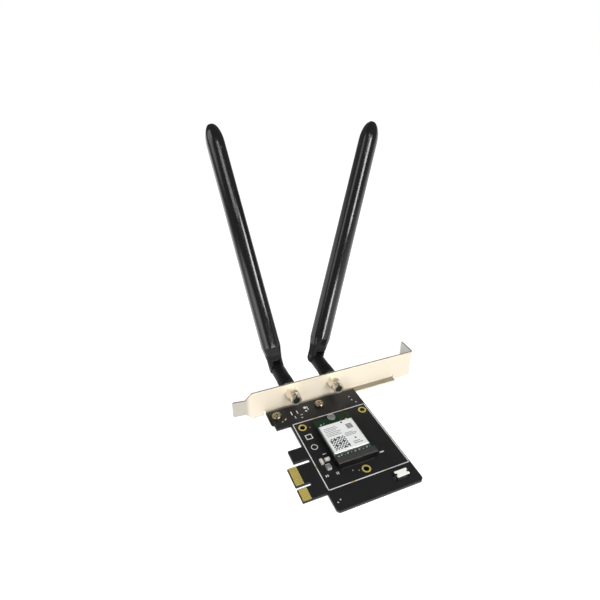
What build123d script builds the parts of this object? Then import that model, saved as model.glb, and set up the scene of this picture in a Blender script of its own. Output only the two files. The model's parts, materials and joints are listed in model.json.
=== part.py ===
import os
from math import cos, radians, sin

from build123d import *

os.makedirs("parts", exist_ok=True)

# Frame: X along the bracket towards its screw tab, Y from the card out through the bracket, Z off the
# component side. Origin: middle of the key slot, on the contact edge, half way through the board.
# All lengths in millimetres.

# Carrier board
BOARD_T = 1.6
TOP = BOARD_T / 2
BOTTOM = -BOARD_T / 2
NECK = 12.9                 # contact edge to the board's own lower edge
BOARD_W = 47.5
BOARD_X1 = NECK + BOARD_W
BOARD_NEAR = -19.0
BOARD_FAR = 54.0
WIDE_X = 4.5                # left side of the wide strip at the bracket
WIDE_Y = 39.7
BLANK_Y0 = 14.6             # plain tab beside the contacts
BLANK_Y1 = 22.8
KEY_W = 1.9
KEY_DEPTH = 7.8
LONG_TAB = 11.2
SHORT_TAB = 7.2
CORNER_R = 2.0
BEVEL = 0.45

# Edge contacts
PITCH = 1.0
PAD_W = 0.7
PAD_L = 4.3
PAD_T = 0.08
PAD_X0 = 0.45
FIRST_PAD = 1.5             # key slot centre to the first contact on either side
LONG_COUNT = 11
SHORT_COUNT = 7

# Heat sink holes, plated
SINK_LEFT = 5.3             # board's left and right edges to the nearest hole
SINK_RIGHT = 4.2
SINK_SPAN = BOARD_W - SINK_LEFT - SINK_RIGHT
SINK_X = NECK + SINK_LEFT + SINK_SPAN / 2
SINK_DROP = 38.0            # the pair's line to the third hole
SINK_Y = 35.3
SINK_R = 1.5
PLATING = 0.1
RING_R = 2.4

# Bracket
SHEET = 0.9
BRACKET_L = 120.0
BRACKET_W = 18.4
BRACKET_X0 = -15.3
BRACKET_X1 = BRACKET_X0 + BRACKET_L
BRACKET_Z0 = -3.2
BRACKET_Z1 = BRACKET_Z0 + BRACKET_W
BRACKET_MID = (BRACKET_Z0 + BRACKET_Z1) / 2
PLATE_IN = 56.8
PLATE_OUT = PLATE_IN + SHEET
TONGUE_W = 10.2
TONGUE_L = 7.3
SHOULDER = (BRACKET_W - TONGUE_W) / 2
TONGUE_BEND = 8.0
TAB_DEPTH = 11.4
NOTCH_W = 4.4
NOTCH_DEPTH = 4.6
LIP_X0 = 3.9
LIP_X1 = 90.4
LIP_DEPTH = 4.0
LIP_TOP = BOTTOM
LIP_BOTTOM = LIP_TOP - SHEET
EAR_W = 9.0
EAR_Y = 44.4
EAR_R = 2.0
FOLD_IN = 0.5
FOLD_OUT = FOLD_IN + SHEET

# Board screws
SCREW_X = (7.9, 34.7)
SCREW_Y = 48.6
SCREW_R = 1.45
SCREW_HOLE_R = 1.65
SCREW_HEAD_R = 2.8
SCREW_HEAD_H = 1.9
SCREW_TAIL = 0.5

# M.2 socket
SOCKET_X0 = 23.9
SOCKET_X1 = 46.6
SOCKET_Y0 = 2.0
SOCKET_Y1 = 5.9
SOCKET_H = 4.2
LEDGE_Y = 7.6
LEDGE_H = 1.7
TAIL_PITCH = 0.5
TAIL_COUNT = 38
TAIL_W = 0.22
TAIL_T = 0.15
TAIL_OUT = 0.6
TAIL_IN = 0.5

# M.2 2230 radio module
MOD_W = 22.0
MOD_L = 30.0
MOD_T = 0.8
MOD_X0 = 24.2
MOD_Y0 = 3.8
MOD_LIFT = 2.3
MOD_Z0 = TOP + MOD_LIFT
MOD_Z1 = MOD_Z0 + MOD_T
MOD_X1 = MOD_X0 + MOD_W
MOD_Y1 = MOD_Y0 + MOD_L
MOD_XC = MOD_X0 + MOD_W / 2
MOD_NOTCH_R = 1.75
SHIELD_H = 1.3
SHIELD_T = 0.2
SHIELD_X0 = 24.4
SHIELD_X1 = 45.0
SHIELD_Y0 = 8.3
SHIELD_Y1 = 28.4
SHIELD_ROUND = 0.3
LABEL_T = 0.1
LABEL_MARGIN = 0.15
MODULE_CHIPS = ((-3.0, 8.0), (5.5, 5.0))  # shield centre to chip centre along x, side
CHIP_H = 0.9
RECEPTACLE_X = (40.3, 44.4)
RECEPTACLE_Y = 31.5
RECEPTACLE_W = 2.0
RECEPTACLE_BASE = 0.25
RECEPTACLE_R = 0.75
RECEPTACLE_WALL = 0.25
RECEPTACLE_H = 0.75
RECEPTACLE_PIN_R = 0.15
RECEPTACLE_PIN_H = 0.6
STANDOFF_R = 2.4
STANDOFF_PEG_R = 1.5
STANDOFF_PEG = 1.0
MOD_SCREW_R = 0.95
MOD_SCREW_HEAD_R = 2.3
MOD_SCREW_HEAD_H = 0.8

# Cable header for the radio's USB side
HEADER_L = 6.8
HEADER_D = 3.5
HEADER_H = 3.0
HEADER_EDGE = 6.2           # to the board's right edge
HEADER_NEAR = 3.9           # to the board's near edge
HEADER_X1 = BOARD_X1 - HEADER_EDGE
HEADER_X0 = HEADER_X1 - HEADER_L
HEADER_Y0 = BOARD_NEAR + HEADER_NEAR
HEADER_Y1 = HEADER_Y0 + HEADER_D
HEADER_WALL = 0.5
HEADER_BACK = 0.8
HEADER_CAP = 0.5
HEADER_NOTCH = 0.8
HEADER_NOTCH_W = 1.3
HEADER_PINS = 4
HEADER_PITCH = 1.25
HEADER_PIN = 0.35
ANCHOR_OUT = 0.9
ANCHOR_W = 1.8
ANCHOR_H = 1.3
ANCHOR_T = 0.25

# Small chips: centre x, centre y, length along x, length along y, height
CHIPS = (
    (17.9, 9.5, 1.6, 3.2, 1.1),
    (21.2, 9.8, 2.8, 1.6, 1.1),
)
CHIP_END = 0.75
COIL = (19.8, 5.3, 3.0, 2.4, 1.2)
COIL_END = 0.6
COIL_END_W = 2.2

# Aerial jacks
JACK_X = (20.0, 47.1)
JACK_Z = 9.25
THREAD_R = 3.175
JACK_HOLE_R = 3.3
JACK_HEX = 6.8              # across flats, inside the bracket
JACK_HEX_L = 5.4
JACK_BARREL_R = 3.2
JACK_BARREL_L = 3.2
JACK_SLOT = 1.1
JACK_SLOT_FLOOR = 1.2
JACK_END_R = 2.1
JACK_END_L = 1.6
JACK_TIP = 66.2
JACK_BORE_R = 2.3
JACK_RECESS = 2.5           # the tip to the core, and to the end of the pin
JACK_PIN_RECESS = 0.4
JACK_PIN_R = 0.5
WASHER_R = 4.4
WASHER_T = 0.6
NUT_AF = 8.0
NUT_T = 2.2

# Aerials
COUPLING_Y0 = 61.4
COUPLING_Y1 = 68.9
COUPLING_R = 4.6
COUPLING_WALL = 1.5
KNURLS = 16
KNURL_R = 0.5
KNURL_DEPTH = 0.3
KNURL_END = 1.6
STEM_R = 2.2
STEM_FLANGE_R = 2.9
STEM_FLANGE_T = 0.5
SWIVEL_GAP = 0.1
SWIVEL_R = 4.4
PIVOT_Y = 82.4
PIVOT_R = 3.8
YOKE_CLEAR = 0.4            # yoke's round ends to the swivel's end
TONGUE_HALF = 2.3
HINGE_GAP = 0.1
HINGE_R = 1.2
HINGE_RUN = 0.05
YOKE_W = 8.4
YOKE_CUT = 0.8
YOKE_FLOOR = 4.9
YOKE_TOP = 13.0
YOKE_SPIGOT = 4.0
BLADE_W = 11.5              # along the hinge pin
BLADE_T = 11.8
BLADE_CUT_W = 3.7           # facets beside the flat front and back
BLADE_CUT_T = 2.45
BLADE_EDGE_R = 2.6
BLADE_END_W = 11.1
BLADE_END_T = 11.2
BLADE_REACH = 158.0         # hinge to tip
BLADE_WALL = 1.4
TIP_H = 13.0
TIP_IN_W = 4.9
TIP_IN_T = 5.0
TIP_STEPS = 7
TIP_SOLID = 3.0
RADIATOR_R = 1.6
RADIATOR_SEAT = 3.0
RADIATOR_ROOM = 14.0        # its free end to the end of the hollow
RADIATOR_L = BLADE_REACH - TIP_H - TIP_SOLID - RADIATOR_ROOM - YOKE_TOP + RADIATOR_SEAT
LEFT_SWIVEL = -4.8
LEFT_BEND = 58.8
RIGHT_SWIVEL = 24.7
RIGHT_BEND = 70.0


def block(x0, x1, y0, y1, z0, z1):
    centre = ((x0 + x1) / 2, (y0 + y1) / 2, (z0 + z1) / 2)
    return Pos(*centre) * Box(x1 - x0, y1 - y0, z1 - z0)


def upright(radius, x, y, z0, z1):
    return Pos(x, y, (z0 + z1) / 2) * Cylinder(radius, z1 - z0)


def along_y(radius, x, z, y0, y1):
    return Pos(x, (y0 + y1) / 2, z) * Rot(90, 0, 0) * Cylinder(radius, y1 - y0)


def hex_along_y(across_flats, x, z, y0, y1):
    outline = RegularPolygon(across_flats / 2, 6, major_radius=False)
    return Pos(x, y1, z) * Rot(90, 0, 0) * extrude(outline, y1 - y0)


def save(name, *solids):
    shape = solids[0] if len(solids) == 1 else Compound(children=list(solids))
    export_step(shape, f"parts/{name}.step")


def circuit_board():
    half_key = KEY_W / 2
    outline = Polygon(
        (WIDE_X, BOARD_FAR),
        (BOARD_X1, BOARD_FAR),
        (BOARD_X1, BOARD_NEAR),
        (NECK, BOARD_NEAR),
        (NECK, -half_key - SHORT_TAB),
        (0, -half_key - SHORT_TAB),
        (0, -half_key),
        (KEY_DEPTH, -half_key),
        (KEY_DEPTH, half_key),
        (0, half_key),
        (0, half_key + LONG_TAB),
        (NECK, half_key + LONG_TAB),
        (NECK, BLANK_Y0),
        (WIDE_X, BLANK_Y0),
        (WIDE_X, BLANK_Y1),
        (NECK, BLANK_Y1),
        (NECK, WIDE_Y),
        (WIDE_X, WIDE_Y),
        align=None,
    )
    board = Pos(0, 0, BOTTOM) * extrude(outline, BOARD_T, dir=(0, 0, 1))
    posts = board.edges().filter_by(Axis.Z)
    near = [e for e in posts if e.center().Y < BOARD_NEAR + 0.1]
    board = fillet(near, CORNER_R)
    tips = [e for e in board.edges().filter_by(Axis.Y) if abs(e.center().X) < 0.01]
    board = chamfer(tips, BEVEL)
    for x, y in sink_centres():
        board -= upright(SINK_R + PLATING, x, y, BOTTOM, TOP)
    for x in SCREW_X:
        board -= upright(SCREW_HOLE_R, x, SCREW_Y, BOTTOM, TOP)
    board -= upright(STANDOFF_PEG_R, MOD_XC, MOD_Y1, BOTTOM, TOP)
    return board


def sink_centres():
    half = SINK_SPAN / 2
    return ((SINK_X - half, SINK_Y), (SINK_X + half, SINK_Y), (SINK_X, SINK_Y - SINK_DROP))


def edge_contacts(z0):
    rows = [FIRST_PAD + i * PITCH for i in range(LONG_COUNT)]
    rows += [-FIRST_PAD - i * PITCH for i in range(SHORT_COUNT)]
    half = PAD_W / 2
    return [block(PAD_X0, PAD_X0 + PAD_L, y - half, y + half, z0, z0 + PAD_T) for y in rows]


def sink_rings():
    rings = []
    for x, y in sink_centres():
        sleeve = upright(SINK_R + PLATING, x, y, BOTTOM - PAD_T, TOP + PAD_T)
        sleeve += upright(RING_R, x, y, TOP, TOP + PAD_T)
        sleeve += upright(RING_R, x, y, BOTTOM - PAD_T, BOTTOM)
        rings.append(sleeve - upright(SINK_R, x, y, BOTTOM - 1, TOP + 1))
    return rings


def bracket():
    neck_x = BRACKET_X0 + TONGUE_L
    plate_x = neck_x + SHOULDER
    half_tongue = TONGUE_W / 2
    outline = Polygon(
        (neck_x, BRACKET_MID - half_tongue),
        (plate_x, BRACKET_Z0),
        (LIP_X0 - 1, BRACKET_Z0),
        (LIP_X0 - 1, LIP_TOP + 1),
        (LIP_X0, LIP_TOP + 1),
        (LIP_X0, LIP_BOTTOM),
        (LIP_X1, LIP_BOTTOM),
        (LIP_X1, LIP_TOP + 1),
        (LIP_X1 + 1, LIP_TOP + 1),
        (LIP_X1 + 1, BRACKET_Z0),
        (BRACKET_X1, BRACKET_Z0),
        (BRACKET_X1, BRACKET_Z1),
        (plate_x, BRACKET_Z1),
        (neck_x, BRACKET_MID + half_tongue),
        align=None,
    )
    plate = Pos(0, PLATE_OUT, 0) * Rot(90, 0, 0) * extrude(outline, SHEET, dir=(0, 0, 1))
    tongue = block(-TONGUE_L, 0.4, 0, SHEET, -half_tongue, half_tongue)
    ends = [e for e in tongue.edges().filter_by(Axis.Y) if e.center().X < -TONGUE_L + 0.1]
    tongue = fillet(ends, 1.0)
    plate += Pos(neck_x, PLATE_IN, BRACKET_MID) * Rot(0, 0, -TONGUE_BEND) * tongue
    tab = block(BRACKET_X1 - SHEET, BRACKET_X1, PLATE_IN, PLATE_OUT + TAB_DEPTH, BRACKET_Z0, BRACKET_Z1)
    plate += tab
    notch_y = PLATE_OUT + TAB_DEPTH / 2
    notch_z = BRACKET_Z0 + NOTCH_DEPTH - NOTCH_W / 2
    slot_x = (BRACKET_X1 - 2 * SHEET, BRACKET_X1 + SHEET)
    slot = block(*slot_x, notch_y - NOTCH_W / 2, notch_y + NOTCH_W / 2, BRACKET_Z0 - SHEET, notch_z)
    slot += Pos(BRACKET_X1, notch_y, notch_z) * Rot(0, 90, 0) * Cylinder(NOTCH_W / 2, 4 * SHEET)
    plate -= slot
    lip = block(LIP_X0, LIP_X1, PLATE_IN - LIP_DEPTH, PLATE_OUT, LIP_BOTTOM, LIP_TOP)
    for x in SCREW_X:
        ear = block(x - EAR_W / 2, x + EAR_W / 2, EAR_Y, PLATE_IN - 1, LIP_BOTTOM, LIP_TOP)
        ends = [e for e in ear.edges().filter_by(Axis.Z) if e.center().Y < EAR_Y + 0.1]
        lip += fillet(ends, EAR_R)
    plate += lip
    inner = [e for e in plate.edges().filter_by(Axis.X) if near_line(e, PLATE_IN, LIP_TOP)]
    outer = [e for e in plate.edges().filter_by(Axis.X) if near_line(e, PLATE_OUT, LIP_BOTTOM)]
    plate = fillet(inner, FOLD_IN)
    outer = [e for e in plate.edges().filter_by(Axis.X) if near_line(e, PLATE_OUT, LIP_BOTTOM)]
    plate = fillet(outer, FOLD_OUT)
    corner = [e for e in plate.edges().filter_by(Axis.Z) if near_corner(e, BRACKET_X1, PLATE_IN)]
    plate = fillet(corner, FOLD_OUT)
    for x in SCREW_X:
        plate -= upright(SCREW_R, x, SCREW_Y, LIP_BOTTOM - 1, LIP_TOP + 1)
    for x in JACK_X:
        plate -= along_y(JACK_HOLE_R, x, JACK_Z, PLATE_IN - 1, PLATE_OUT + 1)
    return plate


def near_line(edge, y, z):
    centre = edge.center()
    return abs(centre.Y - y) < 0.01 and abs(centre.Z - z) < 0.01


def near_corner(edge, x, y):
    centre = edge.center()
    return abs(centre.X - x) < 0.01 and abs(centre.Y - y) < 0.01


def cross_recess(x, y, top, reach, depth):
    arm = reach * 0.3
    cut = block(x - reach, x + reach, y - arm / 2, y + arm / 2, top - depth, top + 1)
    cut += block(x - arm / 2, x + arm / 2, y - reach, y + reach, top - depth, top + 1)
    return cut


def pan_screw(x, y, seat, head_r, head_h, shank_r, tail):
    head = upright(head_r, x, y, seat, seat + head_h)
    rim = head.edges().filter_by(GeomType.CIRCLE).group_by(Axis.Z)[-1]
    head = fillet(rim, head_h * 0.55)
    head += upright(shank_r, x, y, tail, seat)
    return head - cross_recess(x, y, seat + head_h, head_r * 0.55, head_h * 0.6)


def m2_socket():
    top = TOP + SOCKET_H
    body = block(SOCKET_X0, SOCKET_X1, SOCKET_Y0, SOCKET_Y1, TOP, top)
    body += block(SOCKET_X0, SOCKET_X1, SOCKET_Y1 - 0.1, LEDGE_Y, TOP, TOP + LEDGE_H)
    body -= block(MOD_X0, MOD_X1, MOD_Y0, SOCKET_Y1 + 1, MOD_Z0, MOD_Z1)
    body -= block(SOCKET_X0 + 1, SOCKET_X1 - 1, SOCKET_Y0 - 1, SOCKET_Y0 + TAIL_IN, TOP - 1, TOP + TAIL_T)
    rim = [e for e in body.edges().filter_by(Axis.X) if near_line(e, SOCKET_Y0, top)]
    return chamfer(rim, 0.3)


def socket_tails():
    first = (SOCKET_X0 + SOCKET_X1) / 2 - TAIL_PITCH * (TAIL_COUNT - 1) / 2
    half = TAIL_W / 2
    tails = []
    for i in range(TAIL_COUNT):
        x = first + i * TAIL_PITCH
        tails.append(block(x - half, x + half, SOCKET_Y0 - TAIL_OUT, SOCKET_Y0 + TAIL_IN, TOP, TOP + TAIL_T))
    return tails


def module_board():
    board = block(MOD_X0, MOD_X1, MOD_Y0, MOD_Y1, MOD_Z0, MOD_Z1)
    return board - upright(MOD_NOTCH_R, MOD_XC, MOD_Y1, MOD_Z0 - 1, MOD_Z1 + 1)


def module_shield():
    top = MOD_Z1 + SHIELD_H
    can = block(SHIELD_X0, SHIELD_X1, SHIELD_Y0, SHIELD_Y1, MOD_Z1, top)
    can = fillet(can.edges().group_by(Axis.Z)[-1], SHIELD_ROUND)
    hollow = block(
        SHIELD_X0 + SHIELD_T,
        SHIELD_X1 - SHIELD_T,
        SHIELD_Y0 + SHIELD_T,
        SHIELD_Y1 - SHIELD_T,
        MOD_Z1 - 1,
        top - SHIELD_T,
    )
    return can - hollow


def module_label():
    top = MOD_Z1 + SHIELD_H
    edge = SHIELD_ROUND + LABEL_MARGIN
    return block(SHIELD_X0 + edge, SHIELD_X1 - edge, SHIELD_Y0 + edge, SHIELD_Y1 - edge, top, top + LABEL_T)


def module_chips():
    mid_x = (SHIELD_X0 + SHIELD_X1) / 2
    mid_y = (SHIELD_Y0 + SHIELD_Y1) / 2
    chips = []
    for offset, side in MODULE_CHIPS:
        x, half = mid_x + offset, side / 2
        chips.append(block(x - half, x + half, mid_y - half, mid_y + half, MOD_Z1, MOD_Z1 + CHIP_H))
    return chips


def receptacle(x):
    half = RECEPTACLE_W / 2
    y = RECEPTACLE_Y
    floor = MOD_Z1 + RECEPTACLE_BASE
    base = block(x - half, x + half, y - half, y + half, MOD_Z1, floor)
    cup = upright(RECEPTACLE_R, x, y, floor, MOD_Z1 + RECEPTACLE_H)
    cup -= upright(RECEPTACLE_R - RECEPTACLE_WALL, x, y, floor, MOD_Z1 + 2 * RECEPTACLE_H)
    return base + cup + upright(RECEPTACLE_PIN_R, x, y, floor, MOD_Z1 + RECEPTACLE_PIN_H)


def standoff():
    post = upright(STANDOFF_R, MOD_XC, MOD_Y1, TOP, MOD_Z0)
    post += upright(STANDOFF_PEG_R, MOD_XC, MOD_Y1, TOP - STANDOFF_PEG, TOP)
    return post - upright(MOD_SCREW_R, MOD_XC, MOD_Y1, BOTTOM - STANDOFF_PEG, MOD_Z1)


def header_housing():
    top = TOP + HEADER_H - HEADER_CAP
    wall = HEADER_WALL
    back = HEADER_Y1 - HEADER_BACK
    shell = block(HEADER_X0, HEADER_X1, HEADER_Y0, HEADER_Y1, TOP, top)
    shell -= block(HEADER_X0 + wall, HEADER_X1 - wall, HEADER_Y0 - wall, back, TOP + wall, top - wall)
    return shell - header_notches(TOP + HEADER_H / 2)


def header_notches(z0):
    mid = (HEADER_Y0 + HEADER_Y1) / 2
    half = HEADER_NOTCH_W / 2
    over = TOP + HEADER_H + HEADER_CAP
    notches = []
    for x in (HEADER_X0, HEADER_X1):
        notches.append(block(x - HEADER_NOTCH, x + HEADER_NOTCH, mid - half, mid + half, z0, over))
    return notches


def header_cap():
    top = TOP + HEADER_H
    cap = block(HEADER_X0, HEADER_X1, HEADER_Y0, HEADER_Y1, top - HEADER_CAP, top)
    return cap - header_notches(TOP)


def header_pins():
    mid = (HEADER_X0 + HEADER_X1) / 2
    half = HEADER_PIN / 2
    back = HEADER_Y1 - HEADER_BACK
    z = TOP + (HEADER_H - HEADER_CAP) / 2
    pins = []
    for i in range(HEADER_PINS):
        x = mid + (i - (HEADER_PINS - 1) / 2) * HEADER_PITCH
        pins.append(block(x - half, x + half, HEADER_Y0 + HEADER_WALL, back, z - half, z + half))
    return pins


def header_anchors():
    y0 = (HEADER_Y0 + HEADER_Y1 - ANCHOR_W) / 2
    y1 = y0 + ANCHOR_W
    anchors = []
    for side, x in ((-1, HEADER_X0), (1, HEADER_X1)):
        x_out = x + side * ANCHOR_OUT
        x_up = x + side * ANCHOR_T
        foot = block(min(x, x_out), max(x, x_out), y0, y1, TOP, TOP + ANCHOR_T)
        foot += block(min(x, x_up), max(x, x_up), y0, y1, TOP, TOP + ANCHOR_H)
        anchors.append(foot)
    return anchors


def chip_parts():
    bodies = []
    ends = []
    for x, y, dx, dy, h in CHIPS:
        x0, x1 = x - dx / 2, x + dx / 2
        y0, y1 = y - dy / 2, y + dy / 2
        if dx > dy:
            bodies.append(block(x0 + CHIP_END, x1 - CHIP_END, y0, y1, TOP, TOP + h))
            ends.append(block(x0, x0 + CHIP_END, y0, y1, TOP, TOP + h))
            ends.append(block(x1 - CHIP_END, x1, y0, y1, TOP, TOP + h))
        else:
            bodies.append(block(x0, x1, y0 + CHIP_END, y1 - CHIP_END, TOP, TOP + h))
            ends.append(block(x0, x1, y0, y0 + CHIP_END, TOP, TOP + h))
            ends.append(block(x0, x1, y1 - CHIP_END, y1, TOP, TOP + h))
    x, y, dx, dy, h = COIL
    half = COIL_END_W / 2
    for y_in, y_out in ((y + dy / 2, y + dy / 2 + COIL_END), (y - dy / 2 - COIL_END, y - dy / 2)):
        ends.append(block(x - half, x + half, y_in, y_out, TOP, TOP + h / 2))
    return bodies, ends


def power_coil():
    x, y, dx, dy, h = COIL
    can = block(x - dx / 2, x + dx / 2, y - dy / 2, y + dy / 2, TOP, TOP + h)
    return chamfer(can.edges().group_by(Axis.Z)[-1], 0.25)


def jack_body(x):
    hex_end = PLATE_IN - JACK_HEX_L
    barrel_end = hex_end - JACK_BARREL_L
    body = hex_along_y(JACK_HEX, x, JACK_Z, hex_end, PLATE_IN)
    body += along_y(JACK_BARREL_R, x, JACK_Z, barrel_end, hex_end)
    body += along_y(THREAD_R, x, JACK_Z, PLATE_IN, JACK_TIP)
    body -= along_y(JACK_BORE_R, x, JACK_Z, PLATE_IN, JACK_TIP + 1)
    body -= along_y(JACK_END_R, x, JACK_Z, barrel_end - 1, barrel_end + JACK_END_L)
    half = JACK_SLOT / 2
    slot_z = JACK_Z + JACK_SLOT_FLOOR
    body -= block(x - half, x + half, barrel_end - 1, hex_end, slot_z, JACK_Z + JACK_BARREL_R + 1)
    body -= along_y(JACK_PIN_R, x, JACK_Z, barrel_end - 1, JACK_TIP)
    return body


def jack_dielectric(x):
    core = along_y(JACK_BORE_R, x, JACK_Z, PLATE_IN, JACK_TIP - JACK_RECESS)
    return core - along_y(JACK_PIN_R, x, JACK_Z, PLATE_IN - 1, JACK_TIP)


def jack_plug(x):
    barrel_end = PLATE_IN - JACK_HEX_L - JACK_BARREL_L
    plug = along_y(JACK_END_R, x, JACK_Z, barrel_end, barrel_end + JACK_END_L)
    return plug - along_y(JACK_PIN_R, x, JACK_Z, barrel_end - 1, barrel_end + JACK_END_L + 1)


def jack_pin(x):
    barrel_end = PLATE_IN - JACK_HEX_L - JACK_BARREL_L
    return along_y(JACK_PIN_R, x, JACK_Z, barrel_end, JACK_TIP - JACK_PIN_RECESS)


def jack_washer(x):
    ring = along_y(WASHER_R, x, JACK_Z, PLATE_OUT, PLATE_OUT + WASHER_T)
    return ring - along_y(THREAD_R, x, JACK_Z, PLATE_OUT - 1, PLATE_OUT + WASHER_T + 1)


def jack_nut(x):
    y0 = PLATE_OUT + WASHER_T
    nut = hex_along_y(NUT_AF, x, JACK_Z, y0, y0 + NUT_T)
    return nut - along_y(THREAD_R, x, JACK_Z, y0 - 1, y0 + NUT_T + 1)


def coupling_nut(x):
    inside = COUPLING_Y1 - COUPLING_WALL
    nut = along_y(COUPLING_R, x, JACK_Z, COUPLING_Y0, COUPLING_Y1)
    nut = chamfer(nut.edges().filter_by(GeomType.CIRCLE), 0.4)
    nut -= along_y(THREAD_R, x, JACK_Z, COUPLING_Y0 - 1, inside)
    nut -= along_y(STEM_R + SWIVEL_GAP, x, JACK_Z, inside - 1, COUPLING_Y1 + 1)
    ring = COUPLING_R + KNURL_R - KNURL_DEPTH
    for i in range(KNURLS):
        angle = radians(360 * i / KNURLS)
        groove_x = x + ring * cos(angle)
        groove_z = JACK_Z + ring * sin(angle)
        nut -= along_y(KNURL_R, groove_x, groove_z, COUPLING_Y0 - 1, COUPLING_Y1 - KNURL_END)
    return nut


def base_pose(x, swivel):
    return Pos(x, PIVOT_Y, JACK_Z) * Rot(0, swivel, 0)


def swivel_base():
    face = COUPLING_Y1 + SWIVEL_GAP - PIVOT_Y
    inside = COUPLING_Y1 - COUPLING_WALL - SWIVEL_GAP - PIVOT_Y
    end = -PIVOT_R - YOKE_CLEAR
    body = along_y(SWIVEL_R, 0, 0, face, end)
    body = fillet(body.edges().filter_by(GeomType.CIRCLE), 0.5)
    body += block(-TONGUE_HALF, TONGUE_HALF, end - 1, 0, -PIVOT_R, PIVOT_R)
    body += Rot(0, 90, 0) * Cylinder(PIVOT_R, 2 * TONGUE_HALF)
    body += along_y(STEM_R, 0, 0, inside - STEM_FLANGE_T, face + 1)
    body += along_y(STEM_FLANGE_R, 0, 0, inside - STEM_FLANGE_T, inside)
    return body - Rot(0, 90, 0) * Cylinder(HINGE_R + HINGE_RUN, 4 * TONGUE_HALF)


def blade_pose(x, swivel, bend):
    return base_pose(x, swivel) * Rot(bend - 90, 0, 0)


def section(height, width, depth, cut_w, cut_t, radius):
    x, y = width / 2, depth / 2
    corners = ((x, y - cut_t), (x - cut_w, y), (cut_w - x, y), (-x, y - cut_t))
    outline = Polygon(*corners, *[(-px, -py) for px, py in corners], align=None)
    return Plane.XY.offset(height) * fillet(outline.vertices(), radius)


def blade_section(height, width, depth):
    across = width / BLADE_W
    through = depth / BLADE_T
    edge_r = BLADE_EDGE_R * min(across, through)
    return section(height, width, depth, BLADE_CUT_W * across, BLADE_CUT_T * through, edge_r)


def hollow_section(height):
    return blade_section(height, BLADE_END_W - 2 * BLADE_WALL, BLADE_END_T - 2 * BLADE_WALL)


def yoke_cheek(side):
    x0, x1 = sorted((side * (TONGUE_HALF + HINGE_GAP), side * YOKE_W / 2))
    cheek = block(x0, x1, -PIVOT_R, PIVOT_R, 0, YOKE_FLOOR)
    cheek += Pos((x0 + x1) / 2, 0, 0) * Rot(0, 90, 0) * Cylinder(PIVOT_R, x1 - x0)
    face = [e for e in cheek.edges() if abs(e.center().X - side * YOKE_W / 2) < 0.01]
    rim = [e for e in face if e.center().Z < YOKE_FLOOR - 0.01]
    return chamfer(rim, YOKE_CUT)


def blade_yoke():
    low = section(YOKE_FLOOR, YOKE_W, 2 * PIVOT_R, YOKE_CUT, YOKE_CUT, YOKE_CUT / 3)
    high = blade_section(YOKE_TOP, BLADE_W, BLADE_T)
    body = loft([low, high], ruled=True)
    body += yoke_cheek(-1)
    body += yoke_cheek(1)
    body += extrude(hollow_section(YOKE_TOP - 1), YOKE_SPIGOT + 1)
    body -= Rot(0, 90, 0) * Cylinder(HINGE_R, 4 * YOKE_W)
    return body - upright(RADIATOR_R, 0, 0, YOKE_TOP - RADIATOR_SEAT, YOKE_TOP + YOKE_SPIGOT + 1)


def blade_shell():
    tip_start = BLADE_REACH - TIP_H
    stack = [blade_section(YOKE_TOP, BLADE_W, BLADE_T)]
    last = 0.96 * 90
    for i in range(TIP_STEPS + 1):
        angle = radians(last * i / TIP_STEPS)
        inset = 1 - cos(angle)
        rise = TIP_H * sin(angle) / sin(radians(last))
        width = BLADE_END_W - 2 * TIP_IN_W * inset
        depth = BLADE_END_T - 2 * TIP_IN_T * inset
        stack.append(blade_section(tip_start + rise, width, depth))
    shell = loft(stack, ruled=True)
    return shell - extrude(hollow_section(YOKE_TOP - 1), tip_start - YOKE_TOP - TIP_SOLID)


def radiator():
    seat = YOKE_TOP - RADIATOR_SEAT
    return upright(RADIATOR_R, 0, 0, seat, seat + RADIATOR_L)


def hinge_pin():
    return Rot(0, 90, 0) * Cylinder(HINGE_R, YOKE_W)


def aerial(side, x, swivel, bend):
    blade_at = blade_pose(x, swivel, bend)
    save(f"{side}_coupling_nut", coupling_nut(x))
    save(f"{side}_swivel_base", base_pose(x, swivel) * swivel_base())
    save(f"{side}_blade_yoke", blade_at * blade_yoke())
    save(f"{side}_hinge_pin", blade_at * hinge_pin())
    save(f"{side}_blade_shell", blade_at * blade_shell())
    save(f"{side}_radiator", blade_at * radiator())


save("circuit_board", circuit_board())
save("edge_contacts_top", *edge_contacts(TOP))
save("edge_contacts_bottom", *edge_contacts(BOTTOM - PAD_T))
save("sink_rings", *sink_rings())
save("bracket", bracket())
screw_end = LIP_BOTTOM - SCREW_TAIL
save(
    "board_screws",
    *[pan_screw(x, SCREW_Y, TOP, SCREW_HEAD_R, SCREW_HEAD_H, SCREW_R, screw_end) for x in SCREW_X],
)
save("m2_socket", m2_socket())
save("m2_socket_tails", *socket_tails())
save("module_board", module_board())
save("module_chips", *module_chips())
save("module_shield", module_shield())
save("module_label", module_label())
save("module_receptacles", *[receptacle(x) for x in RECEPTACLE_X])
save("module_standoff", standoff())
save(
    "module_screw",
    pan_screw(MOD_XC, MOD_Y1, MOD_Z1, MOD_SCREW_HEAD_R, MOD_SCREW_HEAD_H, MOD_SCREW_R, TOP + 0.2),
)
save("header_housing", header_housing())
save("header_cap", header_cap())
save("header_pins", *header_pins())
save("header_anchors", *header_anchors())
chip_bodies, chip_ends = chip_parts()
save("chip_bodies", *chip_bodies)
save("chip_ends", *chip_ends)
save("power_coil", power_coil())
for side, x in zip(("left", "right"), JACK_X):
    save(f"{side}_jack_body", jack_body(x))
    save(f"{side}_jack_dielectric", jack_dielectric(x))
    save(f"{side}_jack_plug", jack_plug(x))
    save(f"{side}_jack_pin", jack_pin(x))
save("jack_washers", *[jack_washer(x) for x in JACK_X])
save("jack_nuts", *[jack_nut(x) for x in JACK_X])
aerial("left", JACK_X[0], LEFT_SWIVEL, LEFT_BEND)
aerial("right", JACK_X[1], RIGHT_SWIVEL, RIGHT_BEND)
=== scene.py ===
import json
import math

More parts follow.
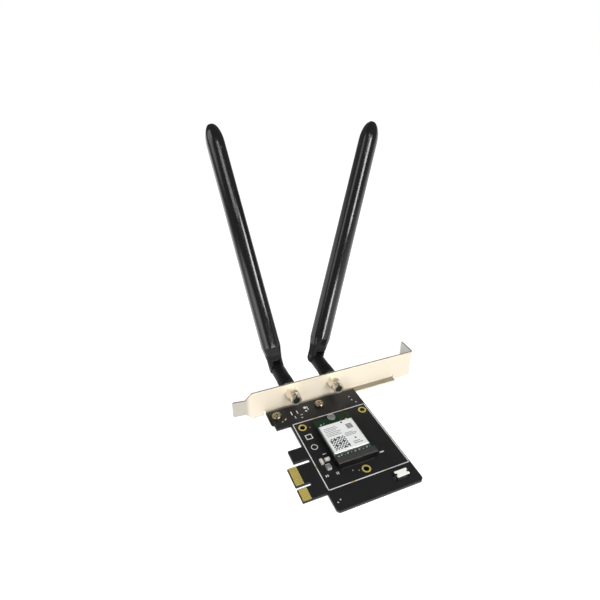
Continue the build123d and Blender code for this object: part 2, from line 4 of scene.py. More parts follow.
import bmesh
import bpy
from mathutils import Matrix, Vector


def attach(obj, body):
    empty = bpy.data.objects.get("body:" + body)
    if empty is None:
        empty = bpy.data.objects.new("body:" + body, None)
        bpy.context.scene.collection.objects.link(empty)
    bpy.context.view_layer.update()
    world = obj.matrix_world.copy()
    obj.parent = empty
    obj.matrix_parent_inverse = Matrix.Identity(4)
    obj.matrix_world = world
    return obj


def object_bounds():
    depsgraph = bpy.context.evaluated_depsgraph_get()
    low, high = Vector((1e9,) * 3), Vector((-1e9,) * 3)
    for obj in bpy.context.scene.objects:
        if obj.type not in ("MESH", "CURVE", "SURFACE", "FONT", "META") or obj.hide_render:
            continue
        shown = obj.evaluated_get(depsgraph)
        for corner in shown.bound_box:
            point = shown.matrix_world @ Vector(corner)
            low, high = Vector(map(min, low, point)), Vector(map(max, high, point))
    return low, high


MM = 0.001

# Where each aerial bends, in millimetres, and its swivel and bend at rest, in degrees
HINGES = {
    "left": ((20.0, 82.4, 9.25), -4.8, 58.8),
    "right": ((47.1, 82.4, 9.25), 24.7, 70.0),
}

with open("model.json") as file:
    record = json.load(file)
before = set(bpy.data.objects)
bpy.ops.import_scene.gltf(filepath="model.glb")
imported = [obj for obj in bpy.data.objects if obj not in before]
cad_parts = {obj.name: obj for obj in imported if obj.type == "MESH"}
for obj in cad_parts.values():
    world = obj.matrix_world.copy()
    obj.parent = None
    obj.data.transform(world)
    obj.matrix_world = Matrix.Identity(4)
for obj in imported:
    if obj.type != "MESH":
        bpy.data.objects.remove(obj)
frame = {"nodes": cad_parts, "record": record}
cad_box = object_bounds()
nodes = frame["nodes"]


# Shader helpers

MIX_FACTOR, MIX_A, MIX_B, MIX_RESULT = 0, 6, 7, 2


def add(tree, kind, settings=None, inputs=None):
    """A shader node; each input is a constant or the output of another node."""
    node = tree.nodes.new("ShaderNode" + kind)
    for key, value in (settings or {}).items():
        setattr(node, key, value)
    for key, value in (inputs or {}).items():
        if isinstance(value, bpy.types.NodeSocket):
            tree.links.new(value, node.inputs[key])
        else:
            node.inputs[key].default_value = value
    return node


def math_node(tree, operation, a, b=0.0):
    return add(tree, "Math", {"operation": operation}, {0: a, 1: b}).outputs[0]


def vector_node(tree, operation, a, b):
    return add(tree, "VectorMath", {"operation": operation}, {0: a, 1: b}).outputs


def remap(tree, value, low, high, new_low=0.0, new_high=1.0):
    inputs = {
        "Value": value,
        "From Min": low,
        "From Max": high,
        "To Min": new_low,
        "To Max": new_high,
    }
    return add(tree, "MapRange", {"clamp": True}, inputs).outputs["Result"]


def mix_color(tree, factor, a, b):
    inputs = {MIX_FACTOR: factor, MIX_A: a, MIX_B: b}
    return add(tree, "Mix", {"data_type": "RGBA"}, inputs).outputs[MIX_RESULT]


def own_place(tree):
    """Places on the piece, in its own coordinates and in metres."""
    return add(tree, "TexCoord").outputs["Object"]


def noise(tree, scale, detail=3.0):
    """Noise over the piece; scale is in cycles per metre along X, Y and Z."""
    spread = add(tree, "Mapping", None, {"Vector": own_place(tree), "Scale": scale})
    inputs = {
        "Vector": spread.outputs["Vector"],
        "Scale": 1.0,
        "Detail": detail,
        "Roughness": 0.55,
    }
    return add(tree, "TexNoise", None, inputs).outputs["Fac"]


def axis_of(tree, vector, axis):
    return add(tree, "SeparateXYZ", None, {"Vector": vector}).outputs[axis]


def face_normal(tree):
    return add(tree, "NewGeometry").outputs["Normal"]


def face_rise(tree):
    """1 where a face looks up, 0 where it stands upright and -1 where it looks down."""
    return axis_of(tree, face_normal(tree), "Z")


def shade(color, factor=1.0):
    return tuple(min(1.0, c * factor) for c in color) + (1.0,)


# Materials

BUMP_DEPTH = 0.1 * MM
NOISE_LOW, NOISE_HIGH = 0.3, 0.7
EDGE_TURN_FROM, EDGE_TURN_FULLY = 0.995, 0.75
EDGE_TINT_LEAST, EDGE_TINT_MOST = 0.2, 0.6

FINISHES = {
    "solder_mask": dict(
        color=(0.0125, 0.0118, 0.0128), rough=(0.36, 0.52), grain=(140, 140, 140), vary=0.2,
        bump=0.1, bevel=0.06, edge_wear_and_shade=(0.06, 0.056, 0.05), specular=0.25,
    ),
    "gold_plate": dict(
        color=(0.82, 0.67, 0.17), metal=0.6, rough=(0.26, 0.44), grain=(60, 1400, 900),
        vary=0.12, bump=0.15, bevel=0.03, edge_wear_and_shade=(0.85, 0.74, 0.4),
    ),
    # Its darker edge colour is painted shade along the sheet's edges.
    "nickel_sheet": dict(
        color=(0.89, 0.8, 0.645), metal=0.15, rough=(0.45, 0.58), grain=(40, 700, 900),
        vary=0.03, fine=(300, 4000, 4000), bump=0.05, bevel=0.6, edge_wear_and_shade=(0.34, 0.32, 0.26),
        specular=0.3,
    ),
    "steel": dict(
        color=(0.26, 0.225, 0.16), metal=1.0, rough=(0.2, 0.34), grain=(500, 500, 500),
        vary=0.15, bump=0.06, bevel=0.1, edge_wear_and_shade=(0.7, 0.62, 0.45),
    ),
    "socket_black": dict(
        color=(0.003, 0.003, 0.0032), rough=(0.4, 0.58), vary=0.2, bump=0.14, bevel=0.1,
        edge_wear_and_shade=(0.03, 0.03, 0.03), specular=0.25,
    ),
    "tin": dict(
        color=(0.8, 0.79, 0.76), metal=0.5, rough=(0.25, 0.45), vary=0.1, bump=0.2, bevel=0.03,
    ),
    # Dark tin: painted shade for solder that sits under other parts.
    "tin_in_painted_shade": dict(
        color=(0.1, 0.1, 0.098), metal=0.6, rough=(0.4, 0.6), vary=0.2, bump=0.2, bevel=0.03,
    ),
    "module_green": dict(
        color=(0.0055, 0.034, 0.0145), rough=(0.3, 0.46), vary=0.3, bump=0.12, bevel=0.05,
        edge_wear_and_shade=(0.03, 0.07, 0.032), specular=0.3,
    ),
    "shield_steel": dict(
        color=(0.6, 0.6, 0.59), metal=1.0, rough=(0.28, 0.42), grain=(60, 900, 900), vary=0.06,
        bevel=0.1,
    ),
    "receptacle_gold": dict(
        color=(0.1, 0.085, 0.045), metal=0.8, rough=(0.3, 0.45), vary=0.2, bevel=0.04,
    ),
    "label_white": dict(
        color=(0.84, 0.845, 0.84), rough=(0.42, 0.6), vary=0.03, bump=0.05, bevel=0.03,
    ),
    "print_white": dict(
        color=(0.68, 0.68, 0.67), rough=(0.5, 0.7), grain=(900, 900, 900), vary=0.12, bevel=0.01,
    ),
    "print_black": dict(
        color=(0.05, 0.05, 0.054), rough=(0.5, 0.7), grain=(900, 900, 900), vary=0.2, bevel=0.01,
    ),
    "laminate": dict(
        color=(0.55, 0.44, 0.13), rough=(0.5, 0.65), grain=(2600, 2600, 2600), vary=0.2,
        bevel=0.01,
    ),
    "chip_black": dict(color=(0.03, 0.03, 0.03), rough=(0.45, 0.6), vary=0.15, bevel=0.06),
    "header_ivory": dict(
        color=(0.92, 0.91, 0.86), rough=(0.35, 0.5), vary=0.04, bump=0.06, bevel=0.1,
        edge_wear_and_shade=(0.93, 0.92, 0.88),
    ),
    "chip_tan": dict(color=(0.7, 0.65, 0.57), rough=(0.35, 0.5), vary=0.15, bevel=0.06),
    "coil_grey": dict(
        color=(0.16, 0.16, 0.165), rough=(0.5, 0.7), vary=0.2, bump=0.25, bevel=0.15,
    ),
    "jack_metal": dict(
        color=(0.78, 0.72, 0.61), metal=0.9, rough=(0.28, 0.4), grain=(500, 80, 500), vary=0.08,
        bump=0.04, bevel=0.12, edge_wear_and_shade=(0.85, 0.8, 0.7),
    ),
    "insulator": dict(color=(0.85, 0.85, 0.82), rough=(0.4, 0.55), vary=0.04),
    "plug_black": dict(color=(0.008, 0.008, 0.008), rough=(0.4, 0.55), vary=0.2),
    "aerial_black": dict(
        color=(0.006, 0.006, 0.0063), rough=(0.36, 0.5), vary=0.25, fine=(2600, 2600, 2600),
        bump=0.05, bevel=0.1, specular=0.2,
    ),
    "aerial_metal": dict(color=(0.72, 0.5, 0.3), metal=1.0, rough=(0.25, 0.4), vary=0.1),
}
BLADE = dict(
    color=(0.005, 0.005, 0.0053), rough=(0.1, 0.16), grain=(90, 90, 90), vary=0.25,
    fine=(1800, 1800, 1800), bump=0.015,
)
for side in HINGES:
    FINISHES[side + "_shell"] = dict(BLADE, specular=0.6)
    FINISHES[side + "_yoke"] = dict(BLADE, specular=0.4)


def surface(
    name,
    color,
    metal=0.0,
    rough=(0.35, 0.5),
    grain=(300, 300, 300),
    vary=0.12,
    fine=(2500, 2500, 2500),
    bump=0.08,
    bevel=0.08,
    edge_wear_and_shade=None,
    specular=0.5,
):
    """A material with blotches, fine bump, rounded edges and, where edge_wear_and_shade gives a
    colour, tinted edges: worn edges, and painted shade along the edges of the nickel sheet;
    grain and fine are in cycles per metre, bevel is in millimetres."""
    mat = bpy.data.materials.new(name)
    mat.use_nodes = True
    tree = mat.node_tree
    bsdf = tree.nodes["Principled BSDF"]
    bsdf.inputs["Metallic"].default_value = metal
    bsdf.inputs["Specular IOR Level"].default_value = specular
    blotch = noise(tree, grain)
    tint = mix_color(tree, blotch, shade(color, 1 - vary), shade(color, 1 + vary))
    small = noise(tree, fine, 2.0)
    rounded = add(tree, "Bevel", {"samples": 8}, {"Radius": bevel * MM}).outputs["Normal"]
    if edge_wear_and_shade:
        turn = vector_node(tree, "DOT_PRODUCT", rounded, face_normal(tree))["Value"]
        amount = remap(tree, blotch, NOISE_LOW, NOISE_HIGH, EDGE_TINT_LEAST, EDGE_TINT_MOST)
        edge = math_node(tree, "MULTIPLY", remap(tree, turn, EDGE_TURN_FROM, EDGE_TURN_FULLY), amount)
        tint = mix_color(tree, edge, tint, shade(edge_wear_and_shade))
    inputs = {"Strength": bump, "Distance": BUMP_DEPTH, "Height": small, "Normal": rounded}
    relief = add(tree, "Bump", None, inputs).outputs["Normal"]
    tree.links.new(tint, bsdf.inputs["Base Color"])
    matte = remap(tree, small, NOISE_LOW, NOISE_HIGH, *rough)
    tree.links.new(matte, bsdf.inputs["Roughness"])
    tree.links.new(relief, bsdf.inputs["Normal"])
    return mat


finishes = {name: surface(name, **settings) for name, settings in FINISHES.items()}


# Painted light and shade, and tints, that change over a piece


def overlay(mat, factor, color):
    """Lay a colour over a material by factor, from 0 to 1."""
    tree = mat.node_tree
    base = tree.nodes["Principled BSDF"].inputs["Base Color"]
    tint = base.links[0].from_socket
    tree.links.new(mix_color(tree, factor, tint, shade(color)), base)


def painted_light_on_top(mat, color):
    """Faces that look up get another colour: painted light and shade for how light falls on
    tops.
    """
    tree = mat.node_tree
    overlay(mat, remap(tree, face_rise(tree), 0.5, 0.8), color)


def tint_along_x(mat, start, end, color):
    """The colour turns into another from start to end, in millimetres along X."""
    tree = mat.node_tree
    place = axis_of(tree, own_place(tree), "X")
    overlay(mat, remap(tree, place, start * MM, end * MM), color)


def painted_shade_in_holes(mat, color, amount):
    """Painted shade: upright faces of the plating, such as a hole's barrel, are darkened by
    amount.
    """
    tree = mat.node_tree
    rise = math_node(tree, "ABSOLUTE", face_rise(tree))
    overlay(mat, remap(tree, rise, 0.2, 0.6, amount, 0.0), color)


def darker_ear(mat, x, y, color):
    """The ear that lies under the board, up to x and y in millimetres, stays in its shade."""
    tree = mat.node_tree
    place = own_place(tree)
    fade = 0.5
    inside = [
        remap(tree, axis_of(tree, place, axis), end * MM, (end - fade) * MM)
        for axis, end in (("X", x), ("Y", y))
    ]
    overlay(mat, math_node(tree, "MULTIPLY", *inside), color)


def painted_shade_in_recess(mat, floor, rim, color):
    """Painted shade in the driver recess of a screw: flat bottoms below the rim, in millimetres,
    are dark.
    """
    tree = mat.node_tree
    place = axis_of(tree, own_place(tree), "Z")
    deep = remap(tree, place, rim * MM, floor * MM)
    flat = remap(tree, face_rise(tree), 0.6, 0.8)
    overlay(mat, math_node(tree, "MULTIPLY", deep, flat), color)


# Blades: places from the hinge and radii of rounding in millimetres
SEAM = 13.0
SOFT, CRISP = 2.8, 0.1
TIP_START, TIP_END = 146.0, 157.0
TIP_SHARE = 0.3
MATTE_TO, GLOSS_FROM = 7.5, 9.5
MATTE = 0.8


def soften_blade(mat, hinge, swivel, bend):
    """Facets run into each other softly, crisper at the seam over the yoke and at the tip; the
    hinge end is matte."""
    tree = mat.node_tree
    roughness = tree.nodes["Principled BSDF"].inputs["Roughness"]
    turn, lean = math.radians(swivel), math.radians(bend)
    along = (math.sin(lean) * math.sin(turn), math.cos(lean), math.sin(lean) * math.cos(turn))
    start = [c * MM for c in hinge]
    reach = vector_node(tree, "SUBTRACT", own_place(tree), start)["Vector"]
    height = vector_node(tree, "DOT_PRODUCT", reach, along)["Value"]
    from_seam = math_node(tree, "ABSOLUTE", math_node(tree, "SUBTRACT", height, SEAM * MM))
    radius = remap(tree, from_seam, 0.0, SOFT * MM, CRISP * MM, SOFT * MM)
    share = remap(tree, height, TIP_START * MM, TIP_END * MM, 1.0, TIP_SHARE)
    rounding = next(n for n in tree.nodes if n.bl_idname == "ShaderNodeBevel")
    rounding.samples = 12
    tree.links.new(math_node(tree, "MULTIPLY", radius, share), rounding.inputs["Radius"])
    gloss = roughness.links[0].from_socket
    matte = remap(tree, height, MATTE_TO * MM, GLOSS_FROM * MM, MATTE, 0.0)
    tree.links.new(math_node(tree, "MAXIMUM", gloss, matte), roughness)


for side, stance in HINGES.items():
    soften_blade(finishes[side + "_shell"], *stance)
    soften_blade(finishes[side + "_yoke"], *stance)
# Painted light and shade on the bracket: darker towards its right end from 45 mm and its left
# below 20 mm, evening out how the lamps light it, and painted shade on the bent tongue past -5.5
# mm; from 103.2 mm the tab turns a lighter grey.
tint_along_x(finishes["nickel_sheet"], 45.0, 85.0, (0.77, 0.695, 0.565))
tint_along_x(finishes["nickel_sheet"], 20.0, 2.0, (0.81, 0.725, 0.59))
tint_along_x(finishes["nickel_sheet"], -5.5, -7.5, (0.52, 0.485, 0.42))
tint_along_x(finishes["nickel_sheet"], 103.2, 103.5, (0.88, 0.87, 0.84))
# Painted shade: the sheet's upward faces, the lip's top among them, are dark olive-grey.
painted_light_on_top(finishes["nickel_sheet"], (0.25, 0.23, 0.17))
darker_ear(finishes["nickel_sheet"], 16.0, 56.0, (0.03, 0.027, 0.02))
# Painted light: the socket's top is lighter than its black sides.
painted_light_on_top(finishes["socket_black"], (0.045, 0.045, 0.045))
# Painted shade in the screws' driver recesses.
painted_shade_in_recess(finishes["steel"], 2.0, 2.3, (0.015, 0.013, 0.01))
# Painted shade inside the plated holes.
painted_shade_in_holes(finishes["gold_plate"], (0.01, 0.008, 0.004), 0.95)

# Solids with another finish than their material slot names
FINER = {
    # The socket's solder tails and the header's anchors get dark tin, painted shade.
    "m2_socket_tails": "tin_in_painted_shade",
    "header_anchors": "tin_in_painted_shade",
    "module_receptacles": "receptacle_gold",
    "module_screw": "shield_steel",
}
for side in HINGES:
    FINER[side + "_blade_shell"] = side + "_shell"
    FINER[side + "_blade_yoke"] = side + "_yoke"
for part in frame["record"]["subparts"]:
    mesh = nodes[part["node"]].data
    mesh.materials.clear()
    mesh.materials.append(finishes[FINER.get(part["node"], part["material_slot"])])


# Pieces that the solids leave out: print, plating, tiny parts and the ribs in the yoke slots


def finish_piece(bm, name, finish, body="card"):
    bmesh.ops.recalc_face_normals(bm, faces=bm.faces)
    mesh = bpy.data.meshes.new(name)
    bm.to_mesh(mesh)
    bm.free()
    mesh.materials.append(finishes[finish])
    piece = bpy.data.objects.new(name, mesh)
    bpy.context.scene.collection.objects.link(piece)
    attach(piece, body)


def raise_outline(bm, outline, z0, z1, inset=0.0):
    """A closed plate over an outline in millimetres, its top drawn in by inset."""
    cx = sum(x for x, y in outline) / len(outline)
    cy = sum(y for x, y in outline) / len(outline)
    low = [bm.verts.new((x * MM, y * MM, z0 * MM)) for x, y in outline]
    high = []
    for x, y in outline:
        reach = max(math.hypot(x - cx, y - cy), 1e-6)
        keep = 1 - inset / reach
        top = (cx + (x - cx) * keep, cy + (y - cy) * keep, z1)
        high.append(bm.verts.new([c * MM for c in top]))
    bm.faces.new(low)
    bm.faces.new(high)
    for i in range(len(outline)):
        j = (i + 1) % len(outline)
        bm.faces.new((low[i], low[j], high[j], high[i]))


def raise_ring(bm, x, y, r_in, r_out, z0, z1, steps=28):
    loops = []
    for r, z in ((r_in, z0), (r_out, z0), (r_out, z1), (r_in, z1)):
        rim = disc(x, y, r, steps)
        loops.append([bm.verts.new((a * MM, b * MM, z * MM)) for a, b in rim])
    for k, one in enumerate(loops):
        two = loops[(k + 1) % len(loops)]
        for i in range(steps):
            j = (i + 1) % steps
            bm.faces.new((one[i], one[j], two[j], two[i]))


def bar(x0, x1, y0, y1):
    return [(x0, y0), (x1, y0), (x1, y1), (x0, y1)]


def disc(x, y, r, steps=18):
    turns = [2 * math.pi * i / steps for i in range(steps)]
    return [(x + r * math.cos(a), y + r * math.sin(a)) for a in turns]


def capsule(ax, ay, bx, by, width, steps=5):
    """The outline of a straight track with round ends."""
    heading = math.atan2(by - ay, bx - ax)
    outline = []
    for x, y, start in ((bx, by, heading - math.pi / 2), (ax, ay, heading + math.pi / 2)):
        for i in range(steps + 1):
            angle = start + math.pi * i / steps
            outline.append((x + width / 2 * math.cos(angle), y + width / 2 * math.sin(angle)))
    return outline


# On the board, in millimetres: heights of its top and layers, sizes of pads, the printed square
BOARD_TOP = 0.8
INK = 0.03
BARE = 0.01
DOME, DOME_INSET, DOME_RADIUS = 0.08, 0.15, 0.4
PAD_WIDTH, PAD_RADIUS = 0.6, 0.32
LINE = 0.5
FRAME = (14.07, 59.73, -7.03, 39.5)
CONTACT_X = (0.45, 4.75)
CONTACT_RUNS = ((1.1, 12.0), (-8.0, -1.1))
MARKS = (
    bar(24.9, 26.5, 48.9, 50.5),
    bar(26.9, 27.3, 47.2, 50.4),
    bar(24.9, 26.0, 46.4, 47.4),
    bar(19.9, 20.4, 46.7, 49.3),
    bar(21.2, 22.6, 44.9, 45.3),
    bar(20.6, 21.9, 42.6, 43.0),
    bar(16.4, 17.0, 46.6, 49.6),
    bar(17.5, 17.9, 43.4, 45.4),
    bar(49.0, 51.4, 3.4, 4.2),
    bar(16.2, 16.7, 0.2, 1.4),
    bar(17.2, 17.7, 0.2, 1.4),
    bar(22.0, 22.4, -0.4, 1.2),
    bar(22.8, 23.2, -0.4, 1.2),
    bar(20.5, 22.6, 13.7, 14.1),
    bar(30.2, 30.6, -1.2, -0.8),
)
SQUARE_SIGN = (
    bar(17.0, 17.5, 26.0, 29.6),
    bar(20.3, 20.8, 26.0, 29.6),
    bar(17.5, 20.3, 26.0, 26.5),
    bar(17.5, 20.3, 29.1, 29.6),
)
RING_SIGN = (18.7, 20.1, 1.45, 1.85)
TEST_PADS = ((22.2, 34.0), (56.2, 33.6), (33.4, -2.2), (12.2, 45.2))
DOTS = (
    (54.4, 48.4),
    (54.6, 45.3),
    (56.2, 42.7),
    (17.0, -13.6),
    (15.3, -14.5),
    (11.6, 44.8),
    (9.6, 43.9),
)


def lay_on_board(bm, outline):
    raise_outline(bm, outline, BOARD_TOP, BOARD_TOP + INK)


def board_print():
    x0, x1, y0, y1 = FRAME
    half = LINE / 2
    bm = bmesh.new()
    runs_along_y = {x0: ((y0, 6.6), (8.4, y1)), x1: ((y0, 10.4), (12.2, y1))}
    runs_along_x = {
        y0: ((x0, 26.2), (28.4, 45.2), (47.6, x1)),
        y1: ((x0, 26.8), (28.8, 44.8), (46.8, x1)),
    }
    for x, runs in runs_along_y.items():
        for a, b in runs:
            lay_on_board(bm, bar(x - half, x + half, a - half, b + half))
    for y, runs in runs_along_x.items():
        for a, b in runs:
            lay_on_board(bm, bar(a - half, b + half, y - half, y + half))
    for outline in MARKS + SQUARE_SIGN:
        lay_on_board(bm, outline)
    raise_ring(bm, *RING_SIGN, BOARD_TOP, BOARD_TOP + INK)
    finish_piece(bm, "board_print", "print_white")


def board_pads():
    """Plated pads in the gaps of the printed square, and round test pads."""
    x0, x1, y0, y1 = FRAME
    bm = bmesh.new()
    for x, y in ((27.3, y0), (46.4, y0), (27.8, y1), (45.8, y1)):
        lay_on_board(bm, capsule(x - 0.8, y, x + 0.8, y, PAD_WIDTH))
    for x, y in ((x0, 7.5), (x1, 11.3)):
        lay_on_board(bm, capsule(x, y - 0.6, x, y + 0.6, PAD_WIDTH))
    for x, y in TEST_PADS:
        lay_on_board(bm, disc(x, y, PAD_RADIUS))
    finish_piece(bm, "board_pads", "gold_plate")


def board_dots():
    """Domes of solder."""
    bm = bmesh.new()
    for x, y in DOTS:
        outline = disc(x, y, DOME_RADIUS)
        raise_outline(bm, outline, BOARD_TOP, BOARD_TOP + DOME, DOME_INSET)
    finish_piece(bm, "board_dots", "tin")


def contact_field():
    """Bare laminate between the edge contacts, where the mask stops."""
    bm = bmesh.new()
    for run in CONTACT_RUNS:
        field = bar(*CONTACT_X, *run)
        raise_outline(bm, field, BOARD_TOP, BOARD_TOP + BARE)
        raise_outline(bm, field, -BOARD_TOP - BARE, -BOARD_TOP)
    finish_piece(bm, "contact_field", "laminate")


# On the module's label: its sides and top in millimetres, the rest in shares of its sides
LABEL = (24.85, 44.55, 8.75, 27.95)
LABEL_TOP = 5.3
LABEL_INK = 0.008
COLUMNS, ROWS = 11, 10
PATCH = (0.07, 0.45, 0.06, 0.42)
ROUND_MARKS = ((0.766, 0.287, 0.55), (0.66, 0.945, 0.6))


def on_label(u0, u1, v0, v1):
    x0, x1, y0, y1 = LABEL
    wide, high = x1 - x0, y1 - y0
    return bar(x0 + wide * u0, x0 + wide * u1, y0 + high * v0, y0 + high * v1)


def lay_on_label(bm, outline):
    raise_outline(bm, outline, LABEL_TOP, LABEL_TOP + LABEL_INK)


def text_bars(bm, start, ends, foot, height, pitch):
    for k, end in enumerate(ends):
        lay_on_label(bm, on_label(start, end, foot + pitch * k, foot + height + pitch * k))


def label_print():
    """Plain bars, dots and a checkered patch where the label carries its print."""
    bm = bmesh.new()
    left, wide, foot, high = PATCH
    for i in range(COLUMNS):
        for j in range(ROWS):
            if (i + j) % 2 == 0 or (3 * i + 5 * j) % 7 == 0:
                u, v = left + wide * i / COLUMNS, foot + high * j / ROWS
                lay_on_label(bm, on_label(u, u + wide / COLUMNS, v, v + high / ROWS))
    text_bars(bm, 0.07, (0.5, 0.46, 0.52, 0.4, 0.48, 0.44), 0.57, 0.015, 0.058)
    text_bars(bm, 0.55, (0.86, 0.9, 0.8), 0.42, 0.015, 0.05)
    text_bars(bm, 0.64, (0.9, 0.84), 0.1, 0.02, 0.06)
    text_bars(bm, 0.72, (0.9, 0.9, 0.9, 0.9), 0.66, 0.03, 0.047)
    for u, v, r in ROUND_MARKS:
        x, y = on_label(u, u, v, v)[0]
        lay_on_label(bm, disc(x, y, r))
    finish_piece(bm, "label_print", "print_black")


# Tiny parts on the module, in millimetres: place, length and width
MODULE_TOP = 3.9
SMALL_PARTS = (
    (26.4, 7.0, 1.0, 0.5),
    (28.2, 7.2, 1.0, 0.5),
    (30.1, 6.9, 0.6, 0.3),
    (31.7, 7.1, 1.0, 0.5),
    (33.9, 7.2, 0.6, 0.3),
    (36.0, 7.0, 1.0, 0.5),
    (38.4, 7.2, 1.0, 0.5),
    (40.6, 7.0, 0.6, 0.3),
    (42.8, 7.1, 1.0, 0.5),
    (44.6, 7.2, 0.6, 0.3),
    (27.0, 30.2, 1.0, 0.5),
    (29.0, 30.6, 0.6, 0.3),
    (38.8, 29.6, 0.6, 0.3),
    (42.3, 29.5, 1.0, 0.5),
)
CAP_SHARE = 0.26
BODY_HEIGHT, END_HEIGHT = 0.8, 0.84
SMALL_INSET = 0.03


def module_small_parts():
    bodies, ends = bmesh.new(), bmesh.new()
    for x, y, length, width in SMALL_PARTS:
        x0, x1, y0, y1 = x - length / 2, x + length / 2, y - width / 2, y + width / 2
        cap = CAP_SHARE * length
        top = MODULE_TOP + BODY_HEIGHT * width
        raise_outline(bodies, bar(x0 + cap, x1 - cap, y0, y1), MODULE_TOP, top, SMALL_INSET)
        top = MODULE_TOP + END_HEIGHT * width
        for a, b in ((x0, x0 + cap), (x1 - cap, x1)):
            raise_outline(ends, bar(a, b, y0, y1), MODULE_TOP, top, SMALL_INSET)
    finish_piece(bodies, "module_part_bodies", "chip_tan")
    finish_piece(ends, "module_part_ends", "tin")


# Rib in a yoke slot, in millimetres from the hinge: half sizes, floor and top
RIB_X, RIB_Y = 2.3, 2.5
RIB_FLOOR, RIB_TOP = 4.9, 4.0
RIB_INSET = 0.3


def slot_lining(side):
    """A rib on the floor of the yoke slot, which closes the view over the hinge."""
    hinge, swivel, bend = HINGES[side]
    bm = bmesh.new()
    raise_outline(bm, bar(-RIB_X, RIB_X, -RIB_Y, RIB_Y), RIB_FLOOR, RIB_TOP, RIB_INSET)
    swing = Matrix.Rotation(math.radians(swivel), 4, "Y")
    lean = Matrix.Rotation(math.radians(bend - 90), 4, "X")
    bm.transform(Matrix.Translation([c * MM for c in hinge]) @ swing @ lean)
    finish_piece(bm, side + "_slot_lining", "plug_black", side + "_blade")


slot_lining("left")
slot_lining("right")
board_print()
board_pads()
board_dots()
contact_field()
label_print()
module_small_parts()


# Stage: the floor in metres, the shade in millimetres, the wall as the rise of a direction

FLOOR_REACH = 30.0
FLOOR_DROP = 0.15
FLOOR_NEAR, FLOOR_FAR = 0.25, 0.9
FLOOR_GLOW = (0.64, 0.85)
SHADE_X, SHADE_Y = (13.0, 61.0), (-13.0, 60.0)
SHADE_RIM = 3.0
WALL_FROM, WALL_TO = 0.03, 0.22
CEILING = 0.2
FILL = 0.28


def stage_plane(name, xs, ys, height, color):
    """A matte plane that isn't part of the card."""
    (x0, x1), (y0, y1) = xs, ys
    mesh = bpy.data.meshes.new(name)
    corners = [(x, y, height) for x, y in bar(x0, x1, y0, y1)]
    mesh.from_pydata(corners, [], [(0, 1, 2, 3)])
    plane = bpy.data.objects.new(name, mesh)
    bpy.context.scene.collection.objects.link(plane)
    mat = bpy.data.materials.new(name)
    mat.use_nodes = True
    mesh.materials.append(mat)
    bsdf = mat.node_tree.nodes["Principled BSDF"]
    bsdf.inputs["Base Color"].default_value = shade(color)
    bsdf.inputs["Roughness"].default_value = 0.9
    bsdf.inputs["Specular IOR Level"].default_value = 0.0
    return mat.node_tree, bsdf


def seen_directly(tree):
    """1 for rays from the eye, straight, mirrored or through glass; 0 for diffuse light."""
    path = add(tree, "LightPath").outputs
    rays = math_node(tree, "MAXIMUM", path["Is Camera Ray"], path["Is Glossy Ray"])
    return math_node(tree, "MAXIMUM", rays, path["Is Transmission Ray"])


def stage_floor():
    """A white floor, low enough for an aerial that is turned down."""
    span = (-FLOOR_REACH, FLOOR_REACH)
    height = cad_box[0][2] - FLOOR_DROP
    tree, bsdf = stage_plane("floor", span, span, height, (0.62, 0.62, 0.62))
    bsdf.inputs["Emission Color"].default_value = (1, 1, 1, 1)
    place = add(tree, "NewGeometry").outputs["Position"]
    away = add(tree, "VectorMath", {"operation": "LENGTH"}, {0: place}).outputs["Value"]
    glow = remap(tree, away, FLOOR_NEAR, FLOOR_FAR, *FLOOR_GLOW)
    glow = math_node(tree, "MULTIPLY", seen_directly(tree), glow)
    tree.links.new(glow, bsdf.inputs["Emission Strength"])


def stage_shade():
    """The shade right under the board, which darkens its open holes; clear at the rim."""
    xs, ys = [c * MM for c in SHADE_X], [c * MM for c in SHADE_Y]
    tree, bsdf = stage_plane("shade", xs, ys, cad_box[0][2], (0.02, 0.019, 0.016))
    place = add(tree, "NewGeometry").outputs["Position"]
    clear = 0.0
    for axis, (low, high) in (("X", SHADE_X), ("Y", SHADE_Y)):
        middle, half = (low + high) / 2, (high - low) / 2
        away = math_node(tree, "SUBTRACT", axis_of(tree, place, axis), middle * MM)
        away = math_node(tree, "ABSOLUTE", away)
        rim = remap(tree, away, (half - SHADE_RIM) * MM, half * MM)
        clear = math_node(tree, "MAXIMUM", clear, rim)
    tree.links.new(math_node(tree, "SUBTRACT", 1.0, clear), bsdf.inputs["Alpha"])


def stage_world():
    """White to the eye; in reflections a white wall under a dimmer ceiling."""
    world = bpy.data.worlds.new("studio")
    bpy.context.scene.world = world
    world.use_nodes = True
    tree = world.node_tree
    background = tree.nodes["Background"]
    background.inputs["Color"].default_value = (1, 1, 1, 1)
    rise = axis_of(tree, add(tree, "TexCoord").outputs["Generated"], "Z")
    ceiling = remap(tree, rise, WALL_FROM, WALL_TO, 1.0, CEILING)
    camera_ray = add(tree, "LightPath").outputs["Is Camera Ray"]
    bright = math_node(tree, "MAXIMUM", ceiling, camera_ray)
    over_fill = math_node(tree, "SUBTRACT", bright, FILL)
    strength = math_node(tree, "MULTIPLY", seen_directly(tree), over_fill)
    tree.links.new(math_node(tree, "ADD", strength, FILL), background.inputs["Strength"])


def put(name, data, place, axes):
    """A lamp or camera at a place, with its right, up and back axes."""
    thing = bpy.data.objects.new(name, data)
    bpy.context.scene.collection.objects.link(thing)
    turn = Matrix(axes).transposed()
    thing.matrix_world = Matrix.Translation(place) @ turn.to_4x4()
    return thing


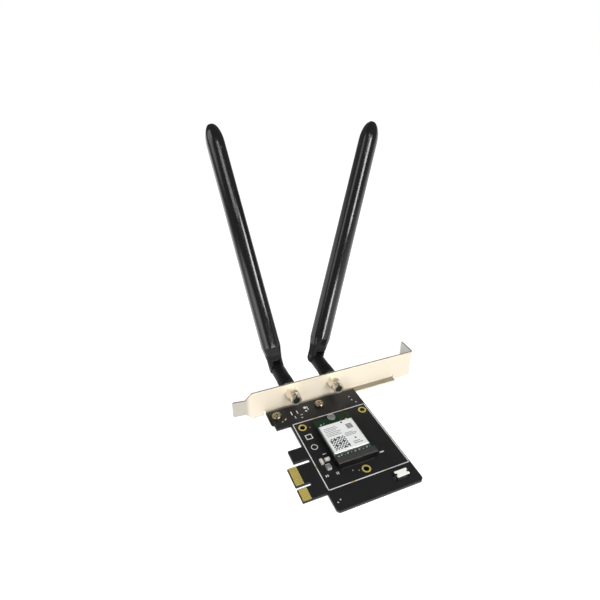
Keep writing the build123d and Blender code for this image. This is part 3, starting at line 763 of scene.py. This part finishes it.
def lamp(name, place, aim, size, power, up=(0, 0, 1), use="both"):
    """A rectangular lamp; use gloss only shows in reflections, use fill only lights."""
    light = bpy.data.lights.new(name, "AREA")
    light.shape = "RECTANGLE"
    light.size, light.size_y = size
    light.energy = power
    back = (Vector(place) - Vector(aim)).normalized()
    right = Vector(up).cross(back).normalized()
    lamp_object = put(name, light, place, (right, back.cross(right), back))
    lamp_object.visible_diffuse = use != "gloss"
    lamp_object.visible_glossy = use != "fill"


def stage_camera():
    """The camera that was fitted to the photo."""
    right = (0.92314, -0.38444, 0.00552)
    up = (0.18337, 0.45286, 0.87252)
    back = (-0.33793, -0.80444, 0.48854)
    camera = bpy.data.cameras.new("camera")
    camera.sensor_width = 36.0
    camera.lens = 26.999
    camera.clip_start = 0.005
    place = (-0.054899, -0.133972, 0.185854)
    bpy.context.scene.camera = put("camera", camera, place, (right, up, back))


stage_floor()
stage_shade()
stage_world()
stage_camera()

# Lamps that draw the thin lines on the blades
lamp(
    "strip_low", (0.225, -0.556, 0.205), (0.063, 0.096, 0.043), (0.26, 0.14), 1.9,
    (0.057, 0.049, 0.115), "gloss",
)
lamp(
    "strip_high", (0.189, -0.122, 0.262), (0.086, 0.117, 0.095), (0.1, 0.14), 0.74,
    (0.057, 0.067, 0.129), "gloss",
)
lamp(
    "line", (0.093, -0.18, 0.482), (0.013, 0.134, 0.095), (0.03, 0.14), 0.12,
    (-0.031, 0.185, 0.259), "gloss",
)

# Lamps that light the card
lamp("front", (0.05, -0.65, 0.22), (0.05, 0.06, 0.01), (0.5, 0.25), 3.2, use="fill")
lamp("key", (0.35, -0.55, 0.75), (0.05, 0.05, 0.0), (0.5, 0.5), 4.8, use="fill")
lamp("side", (-0.564, -0.253, 0.195), (0.017, 0.11, 0.05), (0.3, 0.2), 0.4)
lamp("left", (-0.9, 0.05, 0.9), (0.05, 0.06, 0.0), (0.7, 0.7), 3.2)
lamp("top", (0.05, 0.05, 1.2), (0.05, 0.05, 0.0), (1.0, 1.0), 1.8)
bpy.context.scene.view_settings.view_transform = "Standard"
